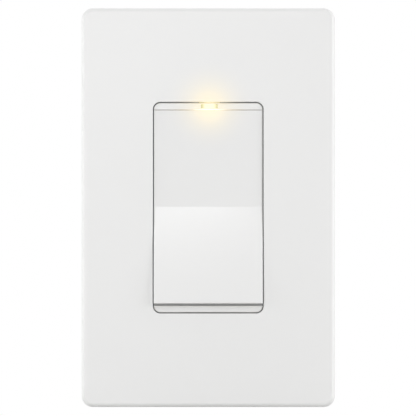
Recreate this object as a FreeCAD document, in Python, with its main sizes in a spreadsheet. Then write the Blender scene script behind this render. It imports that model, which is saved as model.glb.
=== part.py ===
import FreeCAD, Part
import math
import os

import Sketcher

Vector = FreeCAD.Vector

# Frame of the part: +X to the right seen from the front, +Y into the wall, +Z up.
# The origin is midway between the two box screws, in the plane of the wall.
# Front views are drawn against distances forward of the wall, so a piece behind
# the wall has negative levels there. Lengths are in mm and angles in degrees.

SIZES = {
    "Wall plate": {
        "plate_width": 78.3,
        "plate_past_strap": 8.4,
        "plate_front": 7.6,
        "plate_wall": 1.8,
        "plate_corner": 3.5,
        "plate_edge_round": 1.4,
        "plate_mouth_round": 0.25,
        "collar_width": 1.2,
        "collar_depth": 1.4,
        "plate_rib_width": 1.0,
        "plate_rib_depth": 1.2,
        "plate_rib_place": 40.0,
        "pry_slot_length": 8.0,
        "pry_slot_depth": 1.2,
    },
    "Wall plate bracket": {
        "bracket_thick": 1.6,
        "bracket_gap": 0.4,
        "bracket_rim": 1.5,
        "bracket_window_gap": 0.6,
        "screw_notch_radius": 3.6,
        "catch_length": 8.0,
        "catch_thick": 1.0,
        "catch_level": 0.8,
        "catch_bite": 0.3,
        "catch_play": 0.1,
        "side_catch_place": 34.0,
        "end_catch_place": 20.0,
        "countersink": 0.8,
    },
    "Screw spacings": {
        "box_screw_spacing": 83.34,
        "plate_screw_spacing": 96.84,
    },
    "Strap": {
        "strap_thick": 1.2,
        "strap_width": 35.2,
        "strap_past_screw": 4.78,
        "ear_width": 39.0,
        "ear_height": 9.0,
        "ear_corner": 2.0,
        "strap_window_width": 22.4,
        "strap_window_height": 42.0,
        "box_slot_length": 7.2,
        "box_slot_width": 3.9,
        "ear_hole_radius": 1.9,
        "ear_hole_place": 14.2,
        "score_place": 9.5,
        "score_width": 0.6,
        "score_depth": 0.4,
        "tab_bend": 1.0,
        "tab_reach": 9.0,
        "tab_ear_gap": 0.7,
        "tab_height": 8.0,
        "tab_screw_depth": 5.4,
    },
    "Screws": {
        "thread_radius": 1.75,
        "thread_play": 0.05,
        "clearance_play": 0.2,
        "box_head_radius": 3.3,
        "box_head_height": 2.1,
        "box_neck_radius": 1.4,
        "box_neck_end": 0.42,
        "box_screw_end": 17.8,
        "washer_radius": 3.4,
        "washer_thick": 0.4,
        "bracket_screw_length": 7.0,
        "ground_head_radius": 3.8,
        "ground_head_height": 2.2,
        "ground_screw_length": 9.0,
        "drive_width": 0.9,
        "drive_depth": 0.9,
        "recess_length": 2.7,
        "recess_width": 0.6,
        "assembly_radius": 1.05,
        "assembly_head_radius": 2.1,
        "assembly_head_height": 1.5,
        "assembly_seat": 12.0,
        "assembly_x": 12.0,
        "assembly_z": 25.0,
        "assembly_end": 4.1,
    },
    "Face frame": {
        "face_width": 33.6,
        "face_height": 64.7,
        "face_corner": 2.0,
        "face_gap": 0.3,
        "face_front": 7.2,
        "frame_floor": 1.8,
        "strip_height": 2.0,
        "strip_round": 0.3,
        "frame_window_height": 28.0,
        "lug_thick": 2.0,
        "lug_radius": 3.2,
        "boss_radius": 2.2,
        "boss_height": 1.8,
    },
    "Paddle": {
        "paddle_tilt": 5.0,
        "paddle_front": 7.0,
        "pivot_depth": 6.0,
        "paddle_wall": 1.8,
        "skirt_depth": 3.7,
        "paddle_end_gap": 0.2,
        "paddle_edge_round": 0.35,
        "arm_inner": 6.6,
        "arm_thick": 1.8,
        "arm_radius": 2.6,
        "arm_play": 0.3,
        "trunnion_radius": 1.6,
        "trunnion_length": 1.9,
        "trunnion_play": 0.05,
        "post_radius": 3.2,
        "post_end": 8.5,
        "post_bore_end": 3.6,
        "rib_width": 1.0,
        "rib_depth": 1.4,
        "cross_rib_near": 9.5,
        "cross_rib_far": 19.0,
        "long_rib_place": 4.8,
    },
    "Plunger and spring": {
        "plunger_radius": 2.0,
        "plunger_play": 0.05,
        "plunger_start": 3.5,
        "plunger_shoulder": 11.0,
        "plunger_seat": 10.0,
        "plunger_bore": 1.45,
        "plunger_tip": 1.2,
        "spring_radius": 1.12,
        "spring_wire": 0.22,
        "spring_turns": 6.0,
        "spring_play": 0.05,
    },
    "Contact arm": {
        "arm_pivot_depth": 15.0,
        "contact_tilt": 12.0,
        "contact_strip": 0.8,
        "contact_width": 5.0,
        "contact_reach": 8.5,
        "contact_corner": 1.0,
        "bead_radius": 1.0,
        "bead_play": 0.05,
        "tip_gap": 0.05,
        "button_place": 7.0,
        "button_radius": 1.5,
        "button_height": 0.8,
        "button_round": 0.7,
        "button_shank": 0.7,
        "button_shank_play": 0.05,
        "button_head_radius": 1.1,
        "button_head_height": 0.3,
        "contact_gap": 0.06,
        "fixed_button_radius": 1.7,
        "fixed_button_height": 0.8,
    },
    "Terminals": {
        "terminal_thick": 0.8,
        "saddle_lip": 0.4,
        "saddle_depth": 2.0,
        "saddle_height": 5.0,
        "line_leg_low": -1.0,
        "line_leg_high": 2.5,
        "load_leg_height": 4.6,
        "neutral_leg_low": 8.5,
        "neutral_leg_high": 12.0,
        "neutral_leg_margin": 0.7,
        "neutral_leg_reach": 8.6,
        "terminal_front": 7.6,
        "upper_screw": 10.0,
        "lower_screw": -12.5,
        "plate_overlap": 6.0,
        "screw_before_saddle": 4.5,
        "terminal_screw_radius": 2.0,
        "terminal_head_radius": 3.9,
        "terminal_head_height": 2.2,
        "terminal_screw_length": 5.0,
        "clamp_size": 8.0,
        "clamp_thick": 1.0,
        "clamp_space": 0.9,
        "clamp_lip": 0.6,
        "slot_play": 0.1,
    },
    "Back body": {
        "body_width": 33.0,
        "body_height": 66.0,
        "body_depth": 25.0,
        "body_corner": 2.0,
        "body_edge_round": 0.8,
        "cavity_width": 22.4,
        "cavity_height": 42.0,
        "cavity_depth": 22.0,
        "cavity_corner": 1.0,
        "pocket_wall": 1.3,
        "pocket_play": 1.5,
        "end_step_height": 4.5,
        "end_step_depth": 15.0,
        "counterbore_play": 0.3,
        "wire_hole_radius": 1.15,
        "wire_hole_spread": 3.1,
        "wire_hole_place": 1.1,
        "pedestal_width": 6.0,
        "pedestal_play": 0.05,
        "stop_height": 2.4,
        "stop_play": 0.12,
        "gauge_length": 16.0,
        "gauge_width": 2.6,
        "gauge_depth": 0.5,
    },
    "Lamp": {
        "lamp_x": 0.35,
        "lamp_window_width": 5.2,
        "lamp_window_height": 1.4,
        "lamp_play": 0.05,
        "lamp_flange": 0.7,
        "lamp_flange_thick": 1.0,
        "strap_lamp_play": 0.2,
        "lamp_body_width": 3.5,
        "lamp_body_depth": 1.0,
        "lamp_corner": 0.2,
        "lamp_lens_radius": 0.55,
        "board_width": 13.6,
        "board_low": 25.8,
        "board_high": 32.0,
        "board_thick": 1.0,
        "board_corner": 0.6,
        "board_front": 1.6,
        "bay_play": 0.2,
        "bay_ledge": 1.0,
        "bay_depth": 8.5,
        "resistor_radius": 0.9,
        "resistor_length": 4.6,
        "resistor_place": 28.2,
        "diode_radius": 0.8,
        "diode_length": 3.4,
        "diode_place": 30.2,
        "component_lead": 0.25,
        "component_round": 0.38,
        "lead_radius": 0.45,
        "lead_bend": 1.4,
        "lead_place": 5.0,
        "lead_side": 9.6,
        "lead_start": 27.2,
        "lead_drop": 17.0,
        "lead_turn": 12.0,
        "lead_near": 4.3,
        "lead_far": 9.0,
        "lead_channel": 1.6,
    },
}

FRONT = "XZ_Plane"
SIDE = "YZ_Plane"
TOP = "XY_Plane"
X_AXIS = Vector(1, 0, 0)
Y_AXIS = Vector(0, 1, 0)
SIDES = (-1, 1)

# A cutting shape reaches this far past the piece, and a rib this far into its wall.
PAST = 1.0
ROOT = 0.4
# The end of a round-ended slot stops this much short of a full half circle.
SHORT_OF_ROUND = 0.05
# The rounding of a pan head's rim, as a share of the head's height.
HEAD_DOME = 0.6


class Size:
    """A length or an angle: its number, and the formula that gives it from the sheet."""

    def __init__(self, number, formula):
        self.number = number
        self.formula = formula

    def __add__(self, other):
        other = as_size(other)
        return Size(self.number + other.number, "(%s + %s)" % (self.formula, other.formula))

    def __sub__(self, other):
        other = as_size(other)
        return Size(self.number - other.number, "(%s - %s)" % (self.formula, other.formula))

    def __mul__(self, other):
        other = as_size(other)
        return Size(self.number * other.number, "(%s * %s)" % (self.formula, other.formula))

    def __truediv__(self, other):
        other = as_size(other)
        return Size(self.number / other.number, "(%s / %s)" % (self.formula, other.formula))

    def __neg__(self):
        return Size(-self.number, "(-1 * %s)" % self.formula)

    def __rsub__(self, other):
        return as_size(other) - self

    __radd__ = __add__
    __rmul__ = __mul__


def as_size(value):
    """Takes a plain number as a Size too."""
    return value if isinstance(value, Size) else Size(value, repr(float(value)))


def sine(angle):
    return Size(math.sin(math.radians(angle.number)), "sin(%s)" % angle.formula)


def cosine(angle):
    return Size(math.cos(math.radians(angle.number)), "cos(%s)" % angle.formula)


class Sheet:
    """The driving dimensions, each a cell of the spreadsheet and an attribute here."""


def make_sheet(document):
    cells = document.addObject("Spreadsheet::Sheet", "Sizes")
    sheet = Sheet()
    row = 1
    for group, values in SIZES.items():
        cells.set("A%d" % row, group)
        row += 1
        for alias, number in values.items():
            cells.set("A%d" % row, alias)
            cells.set("B%d" % row, str(number))
            cells.setAlias("B%d" % row, alias)
            setattr(sheet, alias, Size(number, "Sizes.%s" % alias))
            row += 1
    document.recompute()
    return sheet


doc = FreeCAD.newDocument("LightSwitch")
size = make_sheet(doc)

# Places that several pieces share.
face_half_x = size.face_width / 2
face_half_z = size.face_height / 2
strip_inner = face_half_z - size.strip_height
frame_floor_front = size.strap_thick + size.frame_floor
pivot_level = size.paddle_front - size.pivot_depth
half_tilt = size.paddle_tilt / 2
half_contact_tilt = size.contact_tilt / 2
paddle_end = strip_inner - size.paddle_end_gap
lug_inner = size.arm_inner + size.arm_thick + size.arm_play
box_screw_z = size.box_screw_spacing / 2
plate_screw_z = size.plate_screw_spacing / 2
bracket_front = size.strap_thick + size.bracket_thick
strap_end = plate_screw_z + size.strap_past_screw
ear_shoulder = strap_end - size.ear_height
tab_low = size.tab_ear_gap - ear_shoulder
tab_middle = tab_low + size.tab_height / 2
plate_half_z = strap_end + size.plate_past_strap
bracket_half_x = size.plate_width / 2 - size.plate_wall - size.bracket_gap
bracket_half_z = plate_half_z - size.plate_wall - size.bracket_gap
cavity_half = size.cavity_width / 2
pocket_floor = cavity_half + size.pocket_wall
terminal_face = pocket_floor + size.terminal_thick
clamp_inner = terminal_face + size.clamp_space
head_seat = clamp_inner + size.clamp_thick
saddle_rear = size.arm_pivot_depth + size.saddle_depth
terminal_screw_depth = saddle_rear - size.screw_before_saddle
lamp_z = strip_inner + size.strip_height / 2
# The rim of the moving button is a rounding; its lowest centre swings round the arm's pivot.
strip_rear = size.contact_strip - size.bead_radius
button_tip = strip_rear + size.button_height
rim_depth = button_tip - size.button_round
rim_reach = size.button_place + size.button_radius - size.button_round
fixed_face = (
    size.arm_pivot_depth
    + rim_depth * cosine(half_contact_tilt)
    + rim_reach * sine(half_contact_tilt)
    + size.button_round
    + size.contact_gap
)
fixed_button_z = button_tip * sine(half_contact_tilt) - size.button_place * cosine(half_contact_tilt)
load_leg_front = fixed_face + size.fixed_button_height
load_leg_rear = load_leg_front + size.terminal_thick
load_leg_low = fixed_button_z - size.load_leg_height / 2
load_leg_high = fixed_button_z + size.load_leg_height / 2
neutral_leg_front = terminal_screw_depth + size.terminal_screw_radius + size.neutral_leg_margin
neutral_leg_rear = neutral_leg_front + size.terminal_thick
board_rear = size.board_front + size.board_thick
# Along the paddle's own depth axis, from its pivot to the centre of the plunger's tip.
tip_centre = (
    size.arm_pivot_depth + pivot_level - size.bead_radius - size.plunger_tip - size.tip_gap
)


def bind(item, name, value):
    """Ties one property of an object to the sheet."""
    item.setExpression(name, as_size(value).formula)


def hold(sketch, geometry, vertex, across, up):
    """Holds a vertex of a sketch at its two distances from the sketch's origin."""
    for kind, value in (("DistanceX", across), ("DistanceY", up)):
        constraint = Sketcher.Constraint(kind, -1, 1, geometry, vertex, value.number)
        index = sketch.addConstraint(constraint)
        bind(sketch, "Constraints[%d]" % index, value)


def draw_circle(sketch, across, up, radius):
    centre = Vector(across.number, up.number, 0)
    circle = sketch.addGeometry(Part.Circle(centre, Vector(0, 0, 1), radius.number))
    hold(sketch, circle, 3, across, up)
    index = sketch.addConstraint(Sketcher.Constraint("Radius", circle, radius.number))
    bind(sketch, "Constraints[%d]" % index, radius)


def draw_outline(sketch, corners):
    """Draws a closed outline through corners, each (across, up, radius of its rounding)."""
    spots = [Vector(across.number, up.number, 0) for across, up, radius in corners]
    count = len(corners)
    ways = [(spots[(i + 1) % count] - spots[i]).normalize() for i in range(count)]
    setbacks = []
    for i, (across, up, radius) in enumerate(corners):
        half_turn = ways[i - 1].getAngle(ways[i]) / 2
        setbacks.append(radius.number * math.tan(half_turn))
    lines = []
    for i in range(count):
        start = spots[i] + ways[i] * setbacks[i]
        end = spots[(i + 1) % count] - ways[i] * setbacks[(i + 1) % count]
        lines.append(sketch.addGeometry(Part.LineSegment(start, end)))
    for i, (across, up, radius) in enumerate(corners):
        before, after = lines[i - 1], lines[i]
        corner = sketch.addGeometry(Part.Point(spots[i]), True)
        hold(sketch, corner, 1, across, up)
        if radius.number == 0:
            sketch.addConstraint(Sketcher.Constraint("Coincident", before, 2, corner, 1))
            sketch.addConstraint(Sketcher.Constraint("Coincident", after, 1, corner, 1))
            continue
        turn = 1 if ways[i - 1].cross(ways[i]).z > 0 else -1
        first = spots[i] - ways[i - 1] * setbacks[i]
        last = spots[i] + ways[i] * setbacks[i]
        centre = first + Vector(0, 0, 1).cross(ways[i - 1]) * (turn * radius.number)
        middle = centre + (spots[i] - centre).normalize() * radius.number
        arc = sketch.addGeometry(Part.Arc(first, middle, last))
        entry, leave = (1, 2) if turn > 0 else (2, 1)
        sketch.addConstraint(Sketcher.Constraint("Tangent", before, 2, arc, entry))
        sketch.addConstraint(Sketcher.Constraint("Tangent", after, 1, arc, leave))
        index = sketch.addConstraint(Sketcher.Constraint("Radius", arc, radius.number))
        bind(sketch, "Constraints[%d]" % index, radius)
        sketch.addConstraint(Sketcher.Constraint("PointOnObject", corner, 1, before))
        sketch.addConstraint(Sketcher.Constraint("PointOnObject", corner, 1, after))


def in_order(one, other):
    """The lower of two sizes first."""
    return (one, other) if one.number < other.number else (other, one)


def corners_of(points, radius=0):
    """Gives the same radius to every corner of a list of (across, up)."""
    return [(as_size(across), as_size(up), as_size(radius)) for across, up in points]


def rectangle(left, right, low, high, radius=0):
    return corners_of([(left, low), (right, low), (right, high), (left, high)], radius)


def centred(width, height, radius=0, across=0, up=0):
    """A rectangle round a centre."""
    half_w, half_h = as_size(width) / 2, as_size(height) / 2
    across, up = as_size(across), as_size(up)
    return rectangle(across - half_w, across + half_w, up - half_h, up + half_h, radius)


def cross_shape(length, width):
    """The plus shape of a cross recess."""
    long, short = length / 2, width / 2
    quarter = [(short, -long), (short, -short), (long, -short)]
    quarter += [(long, short), (short, short), (short, long)]
    return corners_of(quarter + [(-across, -up) for across, up in quarter])


def disc(across, up, radius):
    """A circle, as one of the shapes that sketches take."""
    return (as_size(across), as_size(up), as_size(radius))


def new_body(name):
    body = doc.addObject("PartDesign::Body", name)
    body.Label = name
    return body


def new_sketch(body, name, plane, level, shapes):
    """Draws shapes on one of the body's own planes, moved along the plane's normal to a level."""
    sketch = body.newObject("Sketcher::SketchObject", name + "_sketch")
    support = [item for item in body.Origin.OriginFeatures if item.Role == plane][0]
    sketch.AttachmentSupport = (support, [""])
    sketch.MapMode = "FlatFace"
    level = as_size(level)
    sketch.AttachmentOffset = FreeCAD.Placement(Vector(0, 0, level.number), FreeCAD.Rotation())
    bind(sketch, "AttachmentOffset.Base.z", level)
    for shape in shapes:
        if isinstance(shape, tuple):
            draw_circle(sketch, *shape)
        else:
            draw_outline(sketch, shape)
    return sketch


def grow(body, name, plane, shapes, low, high):
    """Adds material under the shapes from one level to a higher one."""
    pad = body.newObject("PartDesign::Pad", name)
    pad.Profile = new_sketch(body, name, plane, low, shapes)
    length = as_size(high) - as_size(low)
    pad.Length = length.number
    bind(pad, "Length", length)
    body.Tip = pad
    return pad


def carve(body, name, plane, shapes, low, high):
    """Takes material away under the shapes between two levels."""
    pocket = body.newObject("PartDesign::Pocket", name)
    pocket.Profile = new_sketch(body, name, plane, high, shapes)
    length = as_size(high) - as_size(low)
    pocket.Length = length.number
    bind(pocket, "Length", length)
    body.Tip = pocket
    return pocket


def revolve(body, name, plane, shapes, axis, level=0):
    """Turns shapes about one of the axes of their sketch."""
    turned = body.newObject("PartDesign::Revolution", name)
    sketch = new_sketch(body, name, plane, level, shapes)
    turned.Profile = sketch
    turned.ReferenceAxis = (sketch, [axis])
    turned.Angle = 360
    body.Tip = turned
    return turned


def edge_names(shape, chosen):
    """Names the edges whose middle and box pass a test."""
    return [
        "Edge%d" % (number + 1)
        for number, edge in enumerate(shape.Edges)
        if chosen(edge, edge.BoundBox)
    ]


def dress(body, kind, name, chosen, extent):
    """Rounds or bevels the chosen edges of a body."""
    doc.recompute()
    base = body.Tip
    feature = body.newObject("PartDesign::" + kind, name)
    feature.Base = (base, edge_names(base.Shape, chosen))
    prop = "Radius" if kind == "Fillet" else "Size"
    setattr(feature, prop, extent.number)
    bind(feature, prop, extent)
    body.Tip = feature
    return feature


def lies_at_front(level):
    """Chooses edges that lie wholly at one distance forward of the wall."""
    return lambda edge, box: abs(box.YMin + level.number) < 1e-4 and abs(box.YMax + level.number) < 1e-4


def place(item, x, y, z, axis=None, angle=None):
    """Puts an object in its place, tied to the sheet."""
    spot = [as_size(value) for value in (x, y, z)]
    turn = FreeCAD.Rotation(axis, as_size(angle).number) if axis else FreeCAD.Rotation()
    item.Placement = FreeCAD.Placement(Vector(*[value.number for value in spot]), turn)
    for letter, value in zip("xyz", spot):
        bind(item, "Placement.Base." + letter, value)
    if axis:
        bind(item, "Placement.Rotation.Angle", angle)
    return item


def group(name, items):
    """Several solids that make one node."""
    compound = doc.addObject("Part::Compound", name)
    compound.Label = name
    compound.Links = items
    return compound


def wall_plate():
    """The visible cover: a shallow moulded tray with the device opening in its face."""
    body = new_body("wall_plate")
    inner_face = size.plate_front - size.plate_wall
    inner_x = size.plate_width / 2 - size.plate_wall
    inner_z = plate_half_z - size.plate_wall
    opening_width = size.face_width + size.face_gap * 2
    opening_height = size.face_height + size.face_gap * 2
    opening_corner = size.face_corner + size.face_gap
    outside = centred(size.plate_width, plate_half_z * 2, size.plate_corner)
    grow(body, "Tray", FRONT, [outside], 0, size.plate_front)
    dress(body, "Fillet", "FrontRound", lies_at_front(size.plate_front), size.plate_edge_round)
    hollow = centred(inner_x * 2, inner_z * 2, size.plate_corner - size.plate_wall)
    carve(body, "Hollow", FRONT, [hollow], 0, inner_face)
    collar = centred(
        opening_width + size.collar_width * 2,
        opening_height + size.collar_width * 2,
        opening_corner + size.collar_width,
    )
    grow(body, "Collar", FRONT, [collar], inner_face - size.collar_depth, inner_face)
    ribs = [
        rectangle(
            -inner_x,
            inner_x,
            size.plate_rib_place * way - size.plate_rib_width / 2,
            size.plate_rib_place * way + size.plate_rib_width / 2,
        )
        for way in SIDES
    ]
    grow(body, "Ribs", FRONT, ribs, inner_face - size.plate_rib_depth, inner_face)
    opening = centred(opening_width, opening_height, opening_corner)
    carve(body, "Opening", FRONT, [opening], 0, size.plate_front)
    mouth_reach = opening_height / 2
    at_front = lies_at_front(size.plate_front)
    dress(
        body,
        "Fillet",
        "MouthRound",
        lambda edge, box: at_front(edge, box) and max(box.ZMax, -box.ZMin) < mouth_reach.number + 0.01,
        size.plate_mouth_round,
    )
    carve(
        body,
        "CatchGrooves",
        FRONT,
        catch_shapes(size.catch_bite + size.catch_play * 2 + size.bracket_gap, size.catch_play),
        size.catch_level - size.catch_play,
        size.catch_level + size.catch_thick + size.catch_play,
    )
    pry_slot = rectangle(
        -size.pry_slot_length / 2,
        size.pry_slot_length / 2,
        -plate_half_z - PAST,
        -inner_z + PAST,
    )
    carve(body, "PrySlot", FRONT, [pry_slot], 0, size.pry_slot_depth)
    return body


def catch_shapes(reach, play):
    """The eight catches on the bracket's edge, or with some play the grooves they click into."""
    root = size.bracket_rim / 2
    half = size.catch_length / 2 + play
    shapes = []
    for way in SIDES:
        left, right = in_order((bracket_half_x - root) * way, (bracket_half_x + reach) * way)
        low, high = in_order((bracket_half_z - root) * way, (bracket_half_z + reach) * way)
        for along in SIDES:
            middle = size.side_catch_place * along
            shapes.append(rectangle(left, right, middle - half, middle + half))
            middle = size.end_catch_place * along
            shapes.append(rectangle(middle - half, middle + half, low, high))
    return shapes


def wall_plate_bracket():
    """The sub-plate that two screws hold to the strap and the cover clicks onto."""
    body = new_body("wall_plate_bracket")
    outer_corner = size.plate_corner - size.plate_wall - size.bracket_gap
    outside = centred(bracket_half_x * 2, bracket_half_z * 2, outer_corner)
    grow(body, "Web", FRONT, [outside], 0, bracket_front)
    inside = centred(
        (bracket_half_x - size.bracket_rim) * 2, (bracket_half_z - size.bracket_rim) * 2, outer_corner
    )
    carve(body, "RearRecess", FRONT, [inside], 0, size.strap_thick)
    window_x = face_half_x + size.bracket_window_gap
    window_z = face_half_z + size.bracket_window_gap
    window = centred(window_x * 2, window_z * 2, size.face_corner)
    carve(body, "Window", FRONT, [window], 0, bracket_front)
    for way, word in zip(SIDES, ("Lower", "Upper")):
        centre = box_screw_z * way
        notch_end = disc(0, centre, size.screw_notch_radius)
        carve(body, word + "NotchEnd", FRONT, [notch_end], 0, bracket_front)
        low, high = in_order((window_z - PAST) * way, centre)
        notch = rectangle(-size.screw_notch_radius, size.screw_notch_radius, low, high)
        carve(body, word + "Notch", FRONT, [notch], 0, bracket_front)
    hole = size.thread_radius + size.clearance_play
    holes = [disc(0, plate_screw_z * way, hole) for way in SIDES]
    carve(body, "ScrewHoles", FRONT, holes, 0, bracket_front)
    at_front = lies_at_front(bracket_front)
    dress(
        body,
        "Chamfer",
        "Countersinks",
        lambda edge, box: at_front(edge, box) and abs(box.XLength - 2 * hole.number) < 1e-3,
        size.countersink,
    )
    grow(
        body,
        "Catches",
        FRONT,
        catch_shapes(size.bracket_gap + size.catch_bite, 0),
        size.catch_level,
        size.catch_level + size.catch_thick,
    )
    return body


def screw(name, profile, drive, drive_top):
    """One screw about its own Z axis, head up, with its recess cut from the top of the head."""
    body = new_body(name)
    revolve(body, "Turned", FRONT, [profile], "V_Axis")
    carve(body, "Drive", TOP, [drive], drive_top - size.drive_depth, drive_top)
    return body


def pan_profile(head_radius, head_height, stem):
    """The half section of a pan-head screw: a domed head on a stem of (radius, length) steps."""
    zero = as_size(0)
    corners = [
        (zero, head_height, zero),
        (head_radius, head_height, head_height * HEAD_DOME),
        (head_radius, zero, zero),
    ]
    reached = zero
    for radius, length in stem:
        corners.append((radius, -reached, zero))
        corners.append((radius, -length, zero))
        reached = length
    corners.append((zero, -reached, zero))
    return corners


def box_screws():
    """The two long screws that hold the strap to the wall box, waisted under the head."""
    slot = centred(size.box_head_radius * 3, size.drive_width)
    neck_length = size.strap_thick + size.box_neck_end
    full_length = size.strap_thick + size.box_screw_end
    stem = [(size.box_neck_radius, neck_length), (size.thread_radius, full_length)]
    items = []
    for way, word in zip(SIDES, ("lower", "upper")):
        profile = pan_profile(size.box_head_radius, size.box_head_height, stem)
        item = screw("box_screw_" + word, profile, slot, size.box_head_height)
        items.append(place(item, 0, -size.strap_thick, box_screw_z * way, X_AXIS, 90))
    return group("box_screws", items)


def screw_retainers():
    """Fibre washers behind the strap that keep the box screws from falling out."""
    items = []
    for way, word in zip(SIDES, ("lower", "upper")):
        body = new_body("retainer_" + word)
        ring = [
            disc(0, box_screw_z * way, size.washer_radius),
            disc(0, box_screw_z * way, size.box_neck_radius + size.thread_play),
        ]
        grow(body, "Ring", FRONT, ring, -size.washer_thick, 0)
        items.append(body)
    return group("screw_retainers", items)


def bracket_screws():
    """The two countersunk screws that hold the bracket to the strap's tapped holes."""
    zero = as_size(0)
    stem = size.thread_radius - size.thread_play
    head = size.thread_radius + size.clearance_play + size.countersink - size.thread_play
    items = []
    for way, word in zip(SIDES, ("lower", "upper")):
        profile = corners_of(
            [
                (zero, zero),
                (head, zero),
                (stem, stem - head),
                (stem, -size.bracket_screw_length),
                (zero, -size.bracket_screw_length),
            ]
        )
        slot = centred(head * 3, size.drive_width)
        item = screw("bracket_screw_" + word, profile, slot, zero)
        items.append(place(item, 0, -bracket_front, plate_screw_z * way, X_AXIS, 90))
    return group("bracket_screws", items)


def strap():
    """The zinc-plated mounting strap, with its break-off ears and its bent ground tab."""
    body = new_body("strap")
    half = size.strap_width / 2
    ear = size.ear_width / 2
    none = as_size(0)
    right_side = [
        (ear, -strap_end, size.ear_corner),
        (ear, -ear_shoulder, none),
        (half, -ear_shoulder, none),
        (half, ear_shoulder, none),
        (ear, ear_shoulder, none),
        (ear, strap_end, size.ear_corner),
    ]
    left_side = [(-across, -up, radius) for across, up, radius in right_side]
    grow(body, "Blank", FRONT, [right_side + left_side], 0, size.strap_thick)
    window = centred(size.strap_window_width, size.strap_window_height, size.cavity_corner)
    slot_corner = size.box_slot_width / 2 - SHORT_OF_ROUND
    box_slots = [
        centred(size.box_slot_length, size.box_slot_width, slot_corner, 0, box_screw_z * way)
        for way in SIDES
    ]
    tapped = [disc(0, plate_screw_z * way, size.thread_radius) for way in SIDES]
    ear_holes = [
        disc(size.ear_hole_place * across, plate_screw_z * up, size.ear_hole_radius)
        for across in SIDES
        for up in SIDES
    ]
    assembly = [
        disc(size.assembly_x * across, size.assembly_z * up, size.assembly_radius + size.clearance_play)
        for across in SIDES
        for up in SIDES
    ]
    lamp_hole = centred(
        size.lamp_window_width + (size.lamp_flange + size.strap_lamp_play) * 2,
        size.lamp_window_height + (size.lamp_flange + size.strap_lamp_play) * 2,
        0,
        size.lamp_x,
        lamp_z,
    )
    holes = [window] + box_slots + tapped + ear_holes + assembly + [lamp_hole]
    carve(body, "Holes", FRONT, holes, 0, size.strap_thick)
    scores = [
        rectangle(
            size.score_place * across - size.score_width / 2,
            size.score_place * across + size.score_width / 2,
            low,
            high,
        )
        for across in SIDES
        for low, high in ((ear_shoulder, strap_end + PAST), (-strap_end - PAST, -ear_shoulder))
    ]
    carve(body, "EarScores", FRONT, scores, size.strap_thick - size.score_depth, size.strap_thick)
    outer_bend = size.tab_bend + size.strap_thick
    root = -half + PAST
    tab_outer = -half - outer_bend
    tab_inner = -half - size.tab_bend
    front = -size.strap_thick
    bend = [
        (root, front, none),
        (tab_outer, front, outer_bend),
        (tab_outer, size.tab_reach, none),
        (tab_inner, size.tab_reach, none),
        (tab_inner, none, size.tab_bend),
        (root, none, none),
    ]
    grow(body, "GroundTab", TOP, [bend], tab_low, tab_low + size.tab_height)
    tapped_tab = disc(size.tab_screw_depth, tab_middle, size.thread_radius)
    carve(body, "GroundTapping", SIDE, [tapped_tab], tab_outer - PAST, tab_inner + PAST)
    return body


def ground_screw():
    """The green screw in the strap's bent tab."""
    stem = [(size.thread_radius - size.thread_play, size.ground_screw_length)]
    profile = pan_profile(size.ground_head_radius, size.ground_head_height, stem)
    slot = centred(size.ground_head_radius * 3, size.drive_width)
    item = screw("ground_screw", profile, slot, size.ground_head_height)
    tab_outer = -size.strap_width / 2 - size.tab_bend - size.strap_thick
    return place(item, tab_outer, size.tab_screw_depth, tab_middle, Y_AXIS, -90)


def face_frame():
    """The moulded frame: two visible strips, a floor under the paddle and its two bearing lugs."""
    body = new_body("face_frame")
    outside = centred(size.face_width, size.face_height, size.face_corner)
    grow(body, "Block", FRONT, [outside], size.strap_thick, size.face_front)
    dress(body, "Fillet", "FrontRound", lies_at_front(size.face_front), size.strip_round)
    bay = rectangle(-face_half_x - PAST, face_half_x + PAST, -strip_inner, strip_inner)
    carve(body, "PaddleBay", FRONT, [bay], frame_floor_front, size.face_front)
    bosses = [
        disc(size.assembly_x * across, size.assembly_z * up, size.boss_radius)
        for across in SIDES
        for up in SIDES
    ]
    boss_front = frame_floor_front + size.boss_height
    grow(body, "ScrewBosses", FRONT, bosses, frame_floor_front, boss_front)
    pilots = [
        disc(size.assembly_x * across, size.assembly_z * up, size.assembly_radius + size.thread_play)
        for across in SIDES
        for up in SIDES
    ]
    pilot_end = size.assembly_end + size.clearance_play
    carve(body, "Pilots", FRONT, pilots, size.strap_thick, pilot_end)
    window = centred(lug_inner * 2, size.frame_window_height, size.cavity_corner)
    carve(body, "Window", FRONT, [window], size.strap_thick, frame_floor_front)
    lug_outer = lug_inner + size.lug_thick
    for way, word in zip(SIDES, ("Left", "Right")):
        near, far = in_order(lug_inner * way, lug_outer * way)
        neck = rectangle(-frame_floor_front, -pivot_level, -size.lug_radius, size.lug_radius)
        grow(body, word + "LugNeck", SIDE, [neck], near, far)
        grow(body, word + "LugEye", SIDE, [disc(-pivot_level, 0, size.lug_radius)], near, far)
    bearing = disc(-pivot_level, 0, size.trunnion_radius + size.trunnion_play)
    carve(body, "Bearings", SIDE, [bearing], -lug_outer, lug_outer)
    lamp_slot = centred(size.lamp_window_width, size.lamp_window_height, 0, size.lamp_x, lamp_z)
    carve(body, "LampSlot", FRONT, [lamp_slot], size.strap_thick, size.face_front)
    return body


def on_half(above_pivot, along, way):
    """A point of the paddle's side view, from one half's own axes to the paddle's neutral axes."""
    across = -above_pivot * cosine(half_tilt) - along * sine(half_tilt)
    up = -above_pivot * sine(half_tilt) + along * cosine(half_tilt)
    return across, up * way


def vee(outer, inner, inset=0):
    """The side view of a V-shaped layer between two distances in front of the pivot.

    The inset holds it back from both ends of the paddle.
    """
    end = paddle_end - inset
    points = [(-outer / cosine(half_tilt), as_size(0))]
    points += [on_half(outer, end, 1), on_half(inner, end, 1)]
    points += [(-inner / cosine(half_tilt), as_size(0))]
    points += [on_half(inner, end, -1), on_half(outer, end, -1)]
    return corners_of(points)


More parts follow.
